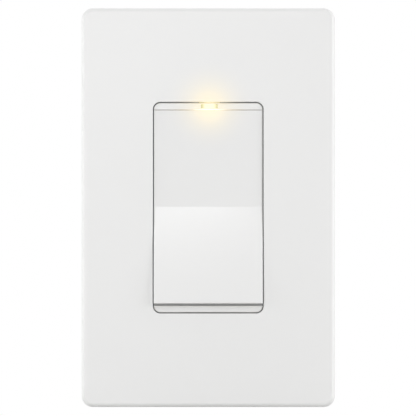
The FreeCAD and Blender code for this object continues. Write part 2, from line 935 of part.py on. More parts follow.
def paddle():
    """The rocker moulding: a V-shaped shell with skirts, ribs, two trunnion arms and a plunger post."""
    body = new_body("paddle")
    front = size.pivot_depth
    shell_back = front - size.paddle_wall
    skirt_back = front - size.skirt_depth
    outline = vee(front, skirt_back)
    grow(body, "Block", SIDE, [outline], -face_half_x, face_half_x)
    across_half = face_half_x - size.paddle_wall
    hollow = vee(shell_back, skirt_back - PAST, size.paddle_wall)
    carve(body, "Hollow", SIDE, [hollow], -across_half, across_half)
    dress(body, "Fillet", "EdgeRound", paddle_rim_edges(front), size.paddle_edge_round)
    ribs = []
    for way in SIDES:
        for start in (size.cross_rib_near, size.cross_rib_far):
            rib_end = start + size.rib_width
            points = [
                on_half(shell_back + ROOT, start, way),
                on_half(shell_back + ROOT, rib_end, way),
                on_half(shell_back - size.rib_depth, rib_end, way),
                on_half(shell_back - size.rib_depth, start, way),
            ]
            ribs.append(corners_of(points))
    grow(body, "CrossRibs", SIDE, ribs, -across_half, across_half)
    long_rib = vee(shell_back + ROOT, shell_back - size.rib_depth, size.paddle_wall)
    for way, word in zip(SIDES, ("Left", "Right")):
        middle = size.long_rib_place * way
        half = size.rib_width / 2
        grow(body, word + "LongRib", SIDE, [long_rib], middle - half, middle + half)
        outer = size.arm_inner + size.arm_thick
        low, high = in_order(size.arm_inner * way, outer * way)
        neck = rectangle(-shell_back - ROOT, 0, -size.arm_radius, size.arm_radius)
        grow(body, word + "Arm", SIDE, [neck], low, high)
        grow(body, word + "ArmEye", SIDE, [disc(0, 0, size.arm_radius)], low, high)
        low, high = in_order(outer * way, (outer + size.trunnion_length) * way)
        grow(body, word + "Trunnion", SIDE, [disc(0, 0, size.trunnion_radius)], low, high)
    grow(body, "Post", FRONT, [disc(0, 0, size.post_radius)], -size.post_end, shell_back + ROOT)
    bore = disc(0, 0, size.plunger_radius + size.plunger_play)
    carve(body, "PostBore", FRONT, [bore], -size.post_end, size.post_bore_end)
    return place(body, 0, -pivot_level, 0, X_AXIS, -half_tilt)


def paddle_rim_edges(front):
    """Chooses the rim of the paddle's face: its two ends and its sides, but not the crease."""
    half_x = face_half_x.number
    lean = math.radians(half_tilt.number)

    def chosen(edge, box):
        spot = edge.CenterOfMass
        ahead = -spot.y * math.cos(lean) - abs(spot.z) * math.sin(lean)
        on_face = abs(ahead - front.number) < 0.01
        on_side = min(abs(box.XMin), abs(box.XMax)) > half_x - 0.01
        on_end = box.XLength > half_x and abs(spot.z) > 1
        return on_face and (on_side or on_end)

    return chosen


def plunger_spring():
    """The coil spring in the paddle's post, which pushes the plunger out."""
    body = new_body("plunger_spring")
    start = -size.post_bore_end + size.spring_play + size.spring_wire
    length = size.plunger_seat - size.spring_play - size.spring_wire - start
    coil = body.newObject("PartDesign::AdditiveHelix", "Coil")
    section = disc(size.spring_radius, 0, size.spring_wire)
    sketch = new_sketch(body, "Wire", FRONT, 0, [section])
    coil.Profile = sketch
    coil.ReferenceAxis = (sketch, ["V_Axis"])
    coil.Mode = "height-turns-angle"
    coil.Height = length.number
    coil.Turns = size.spring_turns.number
    bind(coil, "Height", length)
    bind(coil, "Turns", size.spring_turns)
    body.Tip = coil
    depth = start * cosine(half_tilt) - pivot_level
    return place(body, 0, depth, -start * sine(half_tilt), X_AXIS, -half_tilt - 90)


def plunger():
    """The acetal plunger: a hollow stem with a rounded nose that slides over the contact arm."""
    body = new_body("plunger")
    none = as_size(0)
    nose_end = tip_centre + size.plunger_tip
    section = [
        (size.plunger_start, size.plunger_bore, none),
        (size.plunger_start, size.plunger_radius, none),
        (size.plunger_shoulder, size.plunger_radius, none),
        (tip_centre, size.plunger_tip, none),
        (nose_end, size.plunger_tip, size.plunger_tip - SHORT_OF_ROUND),
        (nose_end, none, none),
        (size.plunger_seat, none, none),
        (size.plunger_seat, size.plunger_bore, none),
    ]
    revolve(body, "Turned", SIDE, [section], "H_Axis")
    return place(body, 0, -pivot_level, 0, X_AXIS, -half_tilt)


def contact_arm():
    """The brass seesaw: a strip with a rounded bead under its middle, which rocks in the saddle."""
    body = new_body("contact_arm")
    half = size.contact_width / 2
    face = centred(size.contact_width, size.contact_reach * 2, size.contact_corner)
    grow(body, "Strip", FRONT, [face], -strip_rear, size.bead_radius)
    grow(body, "Bead", SIDE, [disc(0, 0, size.bead_radius)], -half, half)
    hole = disc(0, -size.button_place, size.button_shank + size.button_shank_play)
    carve(body, "RivetHole", FRONT, [hole], -strip_rear, size.bead_radius)
    return place(body, 0, size.arm_pivot_depth, 0, X_AXIS, half_contact_tilt)


def moving_contact():
    """The silver button riveted through the lower end of the contact arm."""
    body = new_body("moving_contact")
    none = as_size(0)
    head_front = -size.bead_radius - size.button_head_height
    half_section = [
        (head_front, none, none),
        (head_front, size.button_head_radius, none),
        (-size.bead_radius, size.button_head_radius, none),
        (-size.bead_radius, size.button_shank, none),
        (strip_rear, size.button_shank, none),
        (strip_rear, size.button_radius, none),
        (button_tip, size.button_radius, size.button_round),
        (button_tip, none, none),
    ]
    revolve(body, "Rivet", SIDE, [half_section], "H_Axis")
    depth = size.arm_pivot_depth + size.button_place * sine(half_contact_tilt)
    up = -size.button_place * cosine(half_contact_tilt)
    return place(body, 0, depth, up, X_AXIS, half_contact_tilt)


def fixed_contact():
    """The silver button set into the load terminal, which the moving one closes on."""
    body = new_body("fixed_contact")
    zero = as_size(0)
    half_section = corners_of(
        [
            (zero, zero),
            (zero, size.fixed_button_radius),
            (size.fixed_button_height, size.fixed_button_radius),
            (size.fixed_button_height, size.button_shank),
            (size.fixed_button_height + size.terminal_thick, size.button_shank),
            (size.fixed_button_height + size.terminal_thick, zero),
        ]
    )
    revolve(body, "Rivet", SIDE, [half_section], "H_Axis")
    return place(body, 0, fixed_face, fixed_button_z)


def terminal(name, way, inner_x, leg_rear, leg, plate, screw_z):
    """A folded brass terminal: a leg through the side wall and a plate that carries its screw."""
    body = new_body(name)
    leg_front = leg_rear - size.terminal_thick
    none = as_size(0)
    bend = [
        (inner_x * way, leg_front, none),
        (pocket_floor * way, leg_front, none),
        (pocket_floor * way, size.terminal_front, none),
        (terminal_face * way, size.terminal_front, none),
        (terminal_face * way, leg_rear, size.terminal_thick),
        (inner_x * way, leg_rear, none),
    ]
    grow(body, "Leg", TOP, [bend], leg[0], leg[1])
    side_plate = rectangle(size.terminal_front, leg_front, plate[0], plate[1])
    low, high = in_order(pocket_floor * way, terminal_face * way)
    grow(body, "Plate", SIDE, [side_plate], low, high)
    tapping = disc(terminal_screw_depth, screw_z, size.terminal_screw_radius + size.thread_play)
    carve(body, "Tapping", SIDE, [tapping], low - PAST, high + PAST)
    return body


def line_terminal():
    """The line terminal, whose inner end is the saddle that the contact arm rocks in."""
    half = size.contact_width / 2
    plate = (size.line_leg_low, size.upper_screw + size.plate_overlap)
    leg = (size.line_leg_low, size.line_leg_high)
    body = terminal("line_terminal", 1, -half, saddle_rear, leg, plate, size.upper_screw)
    lip = size.arm_pivot_depth + size.saddle_lip
    half_height = size.saddle_height / 2
    block = rectangle(lip, saddle_rear, -half_height, half_height)
    grow(body, "SaddleBlock", SIDE, [block], -half, half)
    trough = disc(size.arm_pivot_depth, 0, size.bead_radius + size.bead_play)
    carve(body, "Trough", SIDE, [trough], -half, half)
    return body


def load_terminal():
    """The load terminal, whose inner end carries the fixed contact."""
    plate = (size.lower_screw - size.plate_overlap, load_leg_high)
    leg = (load_leg_low, load_leg_high)
    inner = -size.load_leg_height / 2
    body = terminal("load_terminal", 1, inner, load_leg_rear, leg, plate, size.lower_screw)
    rivet_hole = disc(0, fixed_button_z, size.button_shank + size.button_shank_play)
    carve(body, "RivetHole", FRONT, [rivet_hole], -load_leg_rear, -load_leg_front)
    return body


def neutral_terminal():
    """The neutral terminal of the pilot lamp, on the other side of the body."""
    plate = (size.upper_screw - size.plate_overlap, size.upper_screw + size.plate_overlap)
    leg = (size.neutral_leg_low, size.neutral_leg_high)
    inner = size.neutral_leg_reach
    return terminal("neutral_terminal", -1, inner, neutral_leg_rear, leg, plate, size.upper_screw)


def terminal_screw(name, way, screw_z):
    """A terminal screw, head outwards, through its clamp plate and terminal."""
    profile = pan_profile(
        size.terminal_head_radius,
        size.terminal_head_height,
        [(size.terminal_screw_radius, size.terminal_screw_length)],
    )
    slot = centred(size.terminal_head_radius * 3, size.drive_width)
    item = screw(name, profile, slot, size.terminal_head_height)
    return place(item, head_seat * way, terminal_screw_depth, screw_z, Y_AXIS, as_size(90) * way)


def terminal_screws():
    """The two brass terminal screws."""
    upper = terminal_screw("line_screw", 1, size.upper_screw)
    lower = terminal_screw("load_screw", 1, size.lower_screw)
    return group("terminal_screws", [upper, lower])


def clamp_plate(name, way, screw_z):
    """The square plate under a terminal screw, with two bent lips that trap the wire."""
    body = new_body(name)
    low, high = in_order(clamp_inner * way, head_seat * way)
    corner = size.clamp_lip
    face = centred(size.clamp_size, size.clamp_size, corner, terminal_screw_depth, screw_z)
    grow(body, "Plate", SIDE, [face], low, high)
    hole = disc(terminal_screw_depth, screw_z, size.terminal_screw_radius + size.clearance_play)
    carve(body, "Hole", SIDE, [hole], low, high)
    low, high = in_order((clamp_inner - size.clamp_lip) * way, clamp_inner * way)
    front = terminal_screw_depth - size.clamp_size / 2
    across = size.clamp_size / 4
    lip = rectangle(front, front + size.clamp_lip, screw_z - across, screw_z + across)
    grow(body, "Lip", SIDE, [lip], low, high)
    return body


def assembly_screws():
    """The four long screws that draw the back body, the strap and the face frame together."""
    profile = pan_profile(
        size.assembly_head_radius,
        size.assembly_head_height,
        [(size.assembly_radius, size.assembly_seat + size.assembly_end)],
    )
    recess = cross_shape(size.recess_length, size.recess_width)
    items = []
    for across in SIDES:
        for up in SIDES:
            item = screw("assembly_screw_%d" % len(items), profile, recess, size.assembly_head_height)
            spot = (size.assembly_x * across, size.assembly_seat, size.assembly_z * up)
            items.append(place(item, *spot, X_AXIS, -90))
    return group("assembly_screws", items)


def back_body():
    """The moulded body behind the strap: cavity, terminal pockets, lamp bay and wire holes."""
    body = new_body("back_body")
    half_x = size.body_width / 2
    half_z = size.body_height / 2
    outside = centred(size.body_width, size.body_height, size.body_corner)
    grow(body, "Block", FRONT, [outside], -size.body_depth, 0)
    steps = []
    for way in SIDES:
        low, high = in_order((half_z - size.end_step_height) * way, (half_z + PAST) * way)
        steps.append(rectangle(-half_x - PAST, half_x + PAST, low, high))
    carve(body, "EndSteps", FRONT, steps, -size.body_depth, -size.end_step_depth)
    dress(body, "Fillet", "RearRound", lies_at_front(-size.body_depth), size.body_edge_round)
    cavity = centred(size.cavity_width, size.cavity_height, size.cavity_corner)
    carve(body, "Cavity", FRONT, [cavity], -size.cavity_depth, 0)
    pedestals(body)
    terminal_pockets(body)
    corners = [
        (size.assembly_x * across, size.assembly_z * up) for across in SIDES for up in SIDES
    ]
    shafts = [disc(*spot, size.assembly_radius + size.clearance_play) for spot in corners]
    carve(body, "ScrewShafts", FRONT, shafts, -size.assembly_seat, 0)
    counterbores = [disc(*spot, size.assembly_head_radius + size.counterbore_play) for spot in corners]
    carve(body, "Counterbores", FRONT, counterbores, -size.body_depth, -size.assembly_seat)
    lamp_bay(body)
    gauge = centred(size.gauge_width, size.gauge_length, size.gauge_width / 2 - SHORT_OF_ROUND)
    carve(body, "StripGauge", FRONT, [gauge], -size.body_depth, size.gauge_depth - size.body_depth)
    return body


def pedestals(body):
    """Blocks on the cavity's floor that back the saddle, the fixed contact and the arm's far stop."""
    half = size.pedestal_width / 2
    floor = -size.cavity_depth
    half_height = size.saddle_height / 2
    saddle_seat = rectangle(-half, half, -half_height, half_height)
    grow(body, "SaddleSeat", FRONT, [saddle_seat], floor, -saddle_rear - size.pedestal_play)
    contact_seat = rectangle(-half, half, load_leg_low, load_leg_high)
    grow(body, "ContactSeat", FRONT, [contact_seat], floor, -load_leg_rear - size.pedestal_play)
    swept = strip_rear * cosine(half_contact_tilt) + size.contact_reach * sine(half_contact_tilt)
    stop_front = size.arm_pivot_depth + swept + size.stop_play
    stop = rectangle(-half, half, size.contact_reach - size.stop_height, size.contact_reach)
    grow(body, "ArmStop", FRONT, [stop], floor, -stop_front)


def terminal_pockets(body):
    """The pockets in the body's sides, the slots for the terminals' legs, and the wire holes."""
    upper_high = size.upper_screw + size.plate_overlap + size.pocket_play
    lower_low = size.lower_screw - size.plate_overlap - size.pocket_play
    neutral_low = size.upper_screw - size.plate_overlap - size.pocket_play
    play = size.slot_play
    line_leg = (size.line_leg_low, size.line_leg_high)
    load_leg = (load_leg_low, load_leg_high)
    neutral_leg = (size.neutral_leg_low, size.neutral_leg_high)
    upper, lower = size.upper_screw, size.lower_screw
    pockets = [
        ("Line", 1, (size.line_leg_low - play, upper_high), line_leg, saddle_rear, upper),
        ("Load", 1, (lower_low, load_leg_high + play), load_leg, load_leg_rear, lower),
        ("Neutral", -1, (neutral_low, upper_high), neutral_leg, neutral_leg_rear, upper),
    ]
    outside = size.body_width / 2 + PAST
    for word, way, pocket, leg, leg_rear, screw_z in pockets:
        left, right = in_order(pocket_floor * way, outside * way)
        shape = rectangle(left, right, *pocket)
        carve(body, word + "Pocket", FRONT, [shape], -size.cavity_depth, 0)
        left, right = in_order((cavity_half - ROOT) * way, (pocket_floor + ROOT) * way)
        slot = rectangle(left, right, leg[0] - play, leg[1] + play)
        carve(body, word + "Slot", FRONT, [slot], -leg_rear - play, 0)
        hole = disc(terminal_screw_depth, screw_z, size.terminal_screw_radius + size.clearance_play)
        carve(body, word + "ScrewHole", SIDE, [hole], left, right)
        wire_x = (terminal_face + size.wire_hole_place) * way
        wires = [
            disc(wire_x, screw_z + size.wire_hole_spread * up, size.wire_hole_radius)
            for up in SIDES
        ]
        carve(body, word + "WireHoles", FRONT, wires, -size.body_depth, -size.cavity_depth)


def lamp_bay(body):
    """The bay at the body's top end: a seat for the lamp board and channels for its two leads."""
    half = size.board_width / 2 + size.bay_play
    low, high = size.board_low - size.bay_play, size.board_high + size.bay_play
    seat = rectangle(-half, half, low, high)
    carve(body, "BoardSeat", FRONT, [seat], -board_rear - size.lamp_play, 0)
    well = rectangle(size.bay_ledge - half, half - size.bay_ledge, low, high)
    carve(body, "LampWell", FRONT, [well], -size.bay_depth, 0)
    depth = size.lead_near + size.lead_channel / 2
    channels = []
    for way in SIDES:
        left = size.lead_place * way - size.lead_channel / 2
        right = left + size.lead_channel
        channels.append(rectangle(left, right, size.cavity_height / 2 - PAST, low + PAST))
    carve(body, "LeadChannels", FRONT, channels, -depth, 0)


def lamp_window():
    """The clear light pipe from the lamp to the slot in the top strip, flanged behind the frame."""
    body = new_body("lamp_window")
    play = size.lamp_play * 2
    width, height = size.lamp_window_width - play, size.lamp_window_height - play
    pipe = centred(width, height, 0, size.lamp_x, lamp_z)
    grow(body, "Pipe", FRONT, [pipe], size.strap_thick - size.lamp_flange_thick, size.face_front)
    flange = centred(
        size.lamp_window_width + size.lamp_flange * 2,
        size.lamp_window_height + size.lamp_flange * 2,
        0,
        size.lamp_x,
        lamp_z,
    )
    grow(body, "Flange", FRONT, [flange], size.strap_thick - size.lamp_flange_thick, size.strap_thick)
    return body


def lamp():
    """The small flat lamp on the front of its board."""
    body = new_body("lamp")
    case = centred(size.lamp_body_width, size.lamp_window_height, size.lamp_corner, size.lamp_x, lamp_z)
    front = size.lamp_body_depth - size.board_front
    grow(body, "Case", FRONT, [case], -size.board_front, front)
    lens = disc(size.lamp_x, lamp_z, size.lamp_lens_radius)
    grow(body, "Lens", FRONT, [lens], front, front + size.lamp_lens_radius / 2)
    return body


def lamp_board():
    """The lamp's circuit board, lying on the two ledges of its bay."""
    body = new_body("lamp_board")
    half = size.board_width / 2
    face = rectangle(-half, half, size.board_low, size.board_high, size.board_corner)
    grow(body, "Board", FRONT, [face], -board_rear, -size.board_front)
    return body


def axial_part(name, radius, length, place_z):
    """A resistor or a diode lying on the back of the lamp board on its two bent leads."""
    body = new_body(name)
    half = length / 2
    lead = size.component_lead
    zero = as_size(0)
    bead = [
        (-half, zero, zero),
        (-half, radius, size.component_round),
        (half, radius, size.component_round),
        (half, zero, zero),
    ]
    revolve(body, "Bead", FRONT, [bead], "H_Axis")
    reach = half + lead * 3
    grow(body, "Wire", SIDE, [disc(0, 0, lead)], -reach - lead, reach + lead)
    feet = [disc(reach * way, 0, lead) for way in SIDES]
    grow(body, "Feet", FRONT, feet, 0, radius + size.lamp_play)
    return place(body, size.lamp_x, board_rear + radius + size.lamp_play, place_z)


def lead(name, stops):
    """A lamp lead: straight runs joined by tangent arcs, swept by its round section."""
    points = [Vector(*[as_size(value).number for value in stop]) for stop in stops]
    edges = []
    start = points[0]
    for before, corner, after in zip(points, points[1:], points[2:]):
        inward = (corner - before).normalize()
        outward = (after - corner).normalize()
        half_turn = inward.getAngle(outward) / 2
        setback = size.lead_bend.number * math.tan(half_turn)
        first = corner - inward * setback
        last = corner + outward * setback
        bisector = (outward - inward).normalize()
        middle_reach = size.lead_bend.number * (1 / math.cos(half_turn) - 1)
        edges.append(Part.makeLine(start, first))
        edges.append(Part.Arc(first, corner + bisector * middle_reach, last).toShape())
        start = last
    edges.append(Part.makeLine(start, points[-1]))
    way = (points[1] - points[0]).normalize()
    section = Part.Wire([Part.makeCircle(size.lead_radius.number, points[0], way)])
    item = doc.addObject("Part::Feature", name)
    item.Label = name
    item.Shape = Part.Wire(edges).makePipeShell([section], True, True)
    return item


def lamp_leads():
    """The two leads from the lamp board, one to the load terminal and one to the neutral terminal."""
    neutral_middle = (size.neutral_leg_low + size.neutral_leg_high) / 2
    ends = [
        ("lamp_lead_load", 1, fixed_button_z, load_leg_front),
        ("lamp_lead_neutral", -1, neutral_middle, neutral_leg_front),
    ]
    leads = []
    for name, way, end_z, end_depth in ends:
        inner, outer = size.lead_place * way, size.lead_side * way
        stops = [
            (inner, board_rear + size.lamp_play, size.lead_start),
            (inner, size.lead_near, size.lead_start),
            (inner, size.lead_near, size.lead_drop),
            (outer, size.lead_far, size.lead_turn),
            (outer, size.lead_far, end_z),
            (outer, end_depth - size.lamp_play, end_z),
        ]
        leads.append(lead(name, stops))
    return leads


def main():
    pieces = [
        wall_plate(),
        wall_plate_bracket(),
        bracket_screws(),
        strap(),
        box_screws(),
        screw_retainers(),
        ground_screw(),
        face_frame(),
        back_body(),
        assembly_screws(),
        paddle(),
        plunger_spring(),
        plunger(),
        contact_arm(),
        moving_contact(),
        fixed_contact(),
        line_terminal(),
        load_terminal(),
        neutral_terminal(),
        terminal_screws(),
        terminal_screw("neutral_screw", -1, size.upper_screw),
        clamp_plate("line_clamp_plate", 1, size.upper_screw),
        clamp_plate("load_clamp_plate", 1, size.lower_screw),
        clamp_plate("neutral_clamp_plate", -1, size.upper_screw),
        lamp_window(),
        lamp(),
        lamp_board(),
        axial_part("lamp_resistor", size.resistor_radius, size.resistor_length, size.resistor_place),
        axial_part("lamp_diode", size.diode_radius, size.diode_length, size.diode_place),
    ]
    pieces += lamp_leads()
    doc.recompute()
    faults = [item.Name for item in doc.Objects if {"Invalid", "Error"} & set(item.State)]
    if faults:
        raise RuntimeError("failed objects: " + ", ".join(faults))
    for piece in pieces:
        if piece.Shape.isNull() or not piece.Shape.isValid():
            raise RuntimeError("bad shape: " + piece.Label)
    os.makedirs("parts", exist_ok=True)
    for piece in pieces:
        piece.Shape.exportStep("parts/%s.step" % piece.Label)
        print(piece.Label, len(piece.Shape.Solids), round(piece.Shape.Volume, 2))


main()
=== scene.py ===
import math

import bmesh
import bpy
from mathutils import Matrix, Vector


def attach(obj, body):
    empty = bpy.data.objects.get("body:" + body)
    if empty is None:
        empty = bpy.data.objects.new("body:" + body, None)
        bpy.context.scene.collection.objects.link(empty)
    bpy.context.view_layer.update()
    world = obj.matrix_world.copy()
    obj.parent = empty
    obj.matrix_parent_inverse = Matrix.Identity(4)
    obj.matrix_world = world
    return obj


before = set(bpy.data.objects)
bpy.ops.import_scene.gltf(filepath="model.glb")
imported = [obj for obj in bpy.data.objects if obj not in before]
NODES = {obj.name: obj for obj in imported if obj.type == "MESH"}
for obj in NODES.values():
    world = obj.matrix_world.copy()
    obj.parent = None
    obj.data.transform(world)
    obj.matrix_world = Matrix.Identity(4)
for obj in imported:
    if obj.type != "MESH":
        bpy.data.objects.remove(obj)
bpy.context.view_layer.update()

MM = 0.001
# The middle of the lamp's window, in the plane of the switch's face.
LAMP_X = 0.35 * MM
LAMP_Z = 31.35 * MM
FACE_Y = -7.6 * MM
FACE_COLOUR = "#e9e9e9"
# How far the lamp's painted halo, a glow and warm tint put onto the plastic, reaches over the face.
HALO_REACH = 15 * MM
# A wall's painted glow starts at the first depth below the face, and is full from the second.
WALL_TOP = 0.45 * MM
WALL_DEEP = 1.5 * MM

# The frame of the photograph: how much of the face's plane its height takes in.
VIEW_HEIGHT = 128.4 * MM
CAMERA_DISTANCE = 1.1
SENSOR = 36.0

# The screws' places above and below the middle, in millimetres, and the thread of all of them.
BOX_SCREW_Z = 41.67
COVER_SCREW_Z = 48.42
THREAD_RADIUS = 1.72
THREAD_PITCH = 0.79
THREAD_RIDGE = 0.2

# The floor, in metres: its height, and how far it reaches each way.
FLOOR_Z = -0.11
FLOOR_REACH = 0.6
# The floor's bounced light is dimmest nearer than the first distance from the switch's middle,
# and even from the second on.
BOUNCE_DIM = 0.11
BOUNCE_EVEN = 0.125

# Each box lamp's place, the point it aims at, its width and height in metres, and its watts.
LAMPS = {
    "left_strip_box": ((-0.31, -0.6, 0), (0, 0, 0), 0.12, 0.45, 0.98),
    "left_side_box": ((-0.68, -0.18, 0), (0, 0, 0), 0.4, 0.6, 1.95),
    "right_side_box": ((0.66, -0.28, 0), (0, 0, 0), 0.4, 0.6, 2.85),
    "upper_soft_box": ((-0.06, -0.6, 0.16), (-0.05, 0, 0.16), 0.16, 0.12, 0.3),
}


def srgb(code):
    """A hex colour as a linear RGBA colour."""
    channels = [int(code[i : i + 2], 16) / 255 for i in (1, 3, 5)]
    linear = [c / 12.92 if c <= 0.04045 else ((c + 0.055) / 1.055) ** 2.4 for c in channels]
    return (*linear, 1.0)


def add_node(tree, kind, settings=None, values=None, links=None):
    """Adds a node, sets its properties and input values, and links sockets into its inputs."""
    node = tree.nodes.new(kind)
    for name, value in (settings or {}).items():
        setattr(node, name, value)
    for name, value in (values or {}).items():
        node.inputs[name].default_value = value
    for name, socket in (links or {}).items():
        tree.links.new(socket, node.inputs[name])
    return node


def new_material(name, **values):
    """A material with one Principled shader; values go straight onto its sockets."""
    material = bpy.data.materials.new(name)
    material.use_nodes = True
    tree = material.node_tree
    tree.nodes.clear()
    shader = add_node(tree, "ShaderNodeBsdfPrincipled")
    output = add_node(tree, "ShaderNodeOutputMaterial")
    tree.links.new(shader.outputs["BSDF"], output.inputs["Surface"])
    for key, value in values.items():
        shader.inputs[key.replace("_", " ")].default_value = value
    return material, tree, shader


def object_place(tree):
    """The object's own coordinates, which at rest are the frame's own for every CAD node."""
    return add_node(tree, "ShaderNodeTexCoord").outputs["Object"]


def noise(tree, place, grain_mm, detail=2.0, roughness=0.5, stretch=None):
    """Noise whose grain is about that many millimetres, drawn out along an axis by stretch."""
    if stretch:
        mapping = add_node(tree, "ShaderNodeMapping", links={"Vector": place})
        mapping.inputs["Scale"].default_value = stretch
        place = mapping.outputs["Vector"]
    values = {"Scale": 1 / (grain_mm * MM), "Detail": detail, "Roughness": roughness}
    return add_node(tree, "ShaderNodeTexNoise", values=values, links={"Vector": place}).outputs["Fac"]


def remap(tree, value, low, high, start=0.0, end=1.0):
    """Takes a value from start..end to low..high, held at both ends."""
    values = {"From Min": start, "From Max": end, "To Min": low, "To Max": high}
    return add_node(tree, "ShaderNodeMapRange", values=values, links={"Value": value}).outputs["Result"]


def mix(tree, share, one, other):
    """Mixes two colours, each a colour or a socket, by a share."""
    node = add_node(tree, "ShaderNodeMix", {"data_type": "RGBA"}, links={0: share})
    for index, colour in ((6, one), (7, other)):
        if isinstance(colour, tuple):
            node.inputs[index].default_value = colour
        else:
            tree.links.new(colour, node.inputs[index])
    return node.outputs[2]


def bump(tree, shader, height, depth_mm, strength=1.0):
    """Raises the surface's shading by a height map, that many millimetres deep."""
    values = {"Strength": strength, "Distance": depth_mm * MM}
    node = add_node(tree, "ShaderNodeBump", values=values, links={"Height": height})
    tree.links.new(node.outputs["Normal"], shader.inputs["Normal"])


def arithmetic(tree, operation, one, other):
    """One sum, product or maximum of two sockets or numbers."""
    node = add_node(tree, "ShaderNodeMath", {"operation": operation})
    for index, value in enumerate((one, other)):
        if isinstance(value, (int, float)):
            node.inputs[index].default_value = value
        else:
            tree.links.new(value, node.inputs[index])
    return node.outputs[0]


def vector_length(tree, vector):
    """The length of a vector socket."""
    node = add_node(tree, "ShaderNodeVectorMath", {"operation": "LENGTH"}, links={0: vector})
    return node.outputs["Value"]


def lamp_distance(tree, place, upright=1.0):
    """How far a place is from the window's middle, seen from the front; upright weighs height."""
    centred = add_node(tree, "ShaderNodeVectorMath", {"operation": "SUBTRACT"}, links={0: place})
    centred.inputs[1].default_value = (LAMP_X, 0, LAMP_Z)
    flat = add_node(tree, "ShaderNodeVectorMath", {"operation": "MULTIPLY"}, links={0: centred.outputs[0]})
    flat.inputs[1].default_value = (1, 0, upright)
    return vector_length(tree, flat.outputs[0])


def lamp_glow(tree, place):
    """How strongly the lamp's painted warm halo shows at a place on the face: it fades as it goes out."""
    share = remap(tree, lamp_distance(tree, place), 0, 1, 0, HALO_REACH)
    ramp = add_node(tree, "ShaderNodeValToRGB", links={"Fac": share})
    stops = ramp.color_ramp
    stops.interpolation = "B_SPLINE"
    levels = [(0, 1), (0.14, 0.9), (0.29, 0.68), (0.38, 0.5), (0.5, 0.3)]
    levels += [(0.66, 0.12), (0.82, 0.03), (1, 0)]
    while len(stops.elements) < len(levels):
        stops.elements.new(0.5)
    for element, (spot, level) in zip(stops.elements, levels):
        element.position = spot
        element.color = (level, level, level, 1)
    return ramp.outputs["Color"]


def halo_light(tree, shader, place, halo, hidden, bleed, gap_light):
    """The halo's painted light, warm on the face and paler in the gaps, and a painted glow in a gap.

    hidden is 0 on an open face and 1 deep in a gap. bleed is a painted glow on every gap's walls,
    standing in for light that scatters through the plastic; gap_light is the lamp's painted light in the
    gaps near it.
    """
    depth = add_node(tree, "ShaderNodeSeparateXYZ", links={"Vector": place}).outputs["Y"]
    deep = remap(tree, depth, 0, 1, FACE_Y + WALL_TOP, FACE_Y + WALL_DEEP)
    # Painted light: the lamp's halo glows from the face, and more from the walls near the window.
    on_face = arithmetic(tree, "MULTIPLY", halo, 0.19)
    near = arithmetic(tree, "MULTIPLY", halo, halo)
    on_walls = arithmetic(tree, "MULTIPLY", arithmetic(tree, "MULTIPLY", near, deep), 0.55)
    in_gaps = arithmetic(tree, "MULTIPLY", arithmetic(tree, "MULTIPLY", near, hidden), gap_light)
    # Painted light: a glow that lightens every gap, in place of light scattering through the plastic.
    painted_gap_glow = arithmetic(tree, "MULTIPLY", arithmetic(tree, "MULTIPLY", hidden, hidden), bleed)
    strength = on_face
    for light in (on_walls, in_gaps, painted_gap_glow):
        strength = arithmetic(tree, "ADD", strength, light)
    tree.links.new(strength, shader.inputs["Emission Strength"])
    walls = mix(tree, remap(tree, halo, 0, 1, 0, 0.2), srgb("#f6f6f5"), srgb("#fff3dc"))
    colour = mix(tree, arithmetic(tree, "MAXIMUM", deep, hidden), srgb("#ffd06a"), walls)
    tree.links.new(colour, shader.inputs["Emission Color"])


def white_plastic(
    name,
    colour,
    grain_mm,
    gloss,
    glowing,
    deep="#161616",
    reach_mm=0.6,
    clear=0.6,
    bleed=0.0,
    gap_light=0.0,
):
    """Injection-moulded satin plastic, faintly mottled, with the lamp's halo painted on where it is
    glowing.

    It darkens towards deep, as painted shade, where walls within reach_mm of it close it in; clear is
    how open a spot must be to keep its own colour.
    """
    material, tree, shader = new_material(name, Specular_IOR_Level=0.45, IOR=1.58)
    place = object_place(tree)
    cloud = noise(tree, place, 30, detail=2)
    tone = mix(tree, cloud, srgb(colour), srgb("#ebebeb"))
    rough = remap(tree, noise(tree, place, 4, detail=3), gloss - 0.01, gloss + 0.01, 0.3, 0.7)
    tree.links.new(rough, shader.inputs["Roughness"])
    # Painted shade: ambient occlusion darkens the colour in gaps and crevices.
    occlusion_shade = add_node(tree, "ShaderNodeAmbientOcclusion", {"samples": 8}, {"Distance": reach_mm * MM})
    hidden = remap(tree, occlusion_shade.outputs["AO"], 1, 0, 0.2, clear)
    if glowing:
        halo = lamp_glow(tree, place)
        # Painted light: the lamp's halo tints the colour warm near the window.
        tone = mix(tree, remap(tree, halo, 0, 0.28), tone, srgb("#f7ecac"))
        halo_light(tree, shader, place, halo, hidden, bleed, gap_light)
    tone = mix(tree, hidden, tone, srgb(deep))
    tree.links.new(tone, shader.inputs["Base Color"])
    bump(tree, shader, noise(tree, place, grain_mm, detail=4, roughness=0.6), 0.004)
    return material


def moulded(name, colour, second, grain_mm, gloss, depth_mm):
    """A moulded technical plastic: mottled colour and a fine spark-eroded grain."""
    material, tree, shader = new_material(name, Specular_IOR_Level=0.4)
    place = object_place(tree)
    cloud = remap(tree, noise(tree, place, 6, detail=4), 0, 1, 0.35, 0.65)
    tree.links.new(mix(tree, cloud, srgb(colour), srgb(second)), shader.inputs["Base Color"])
    fine = noise(tree, place, grain_mm, detail=5, roughness=0.65)
    tree.links.new(remap(tree, fine, gloss - 0.06, gloss + 0.08, 0.3, 0.7), shader.inputs["Roughness"])
    bump(tree, shader, fine, depth_mm)
    return material


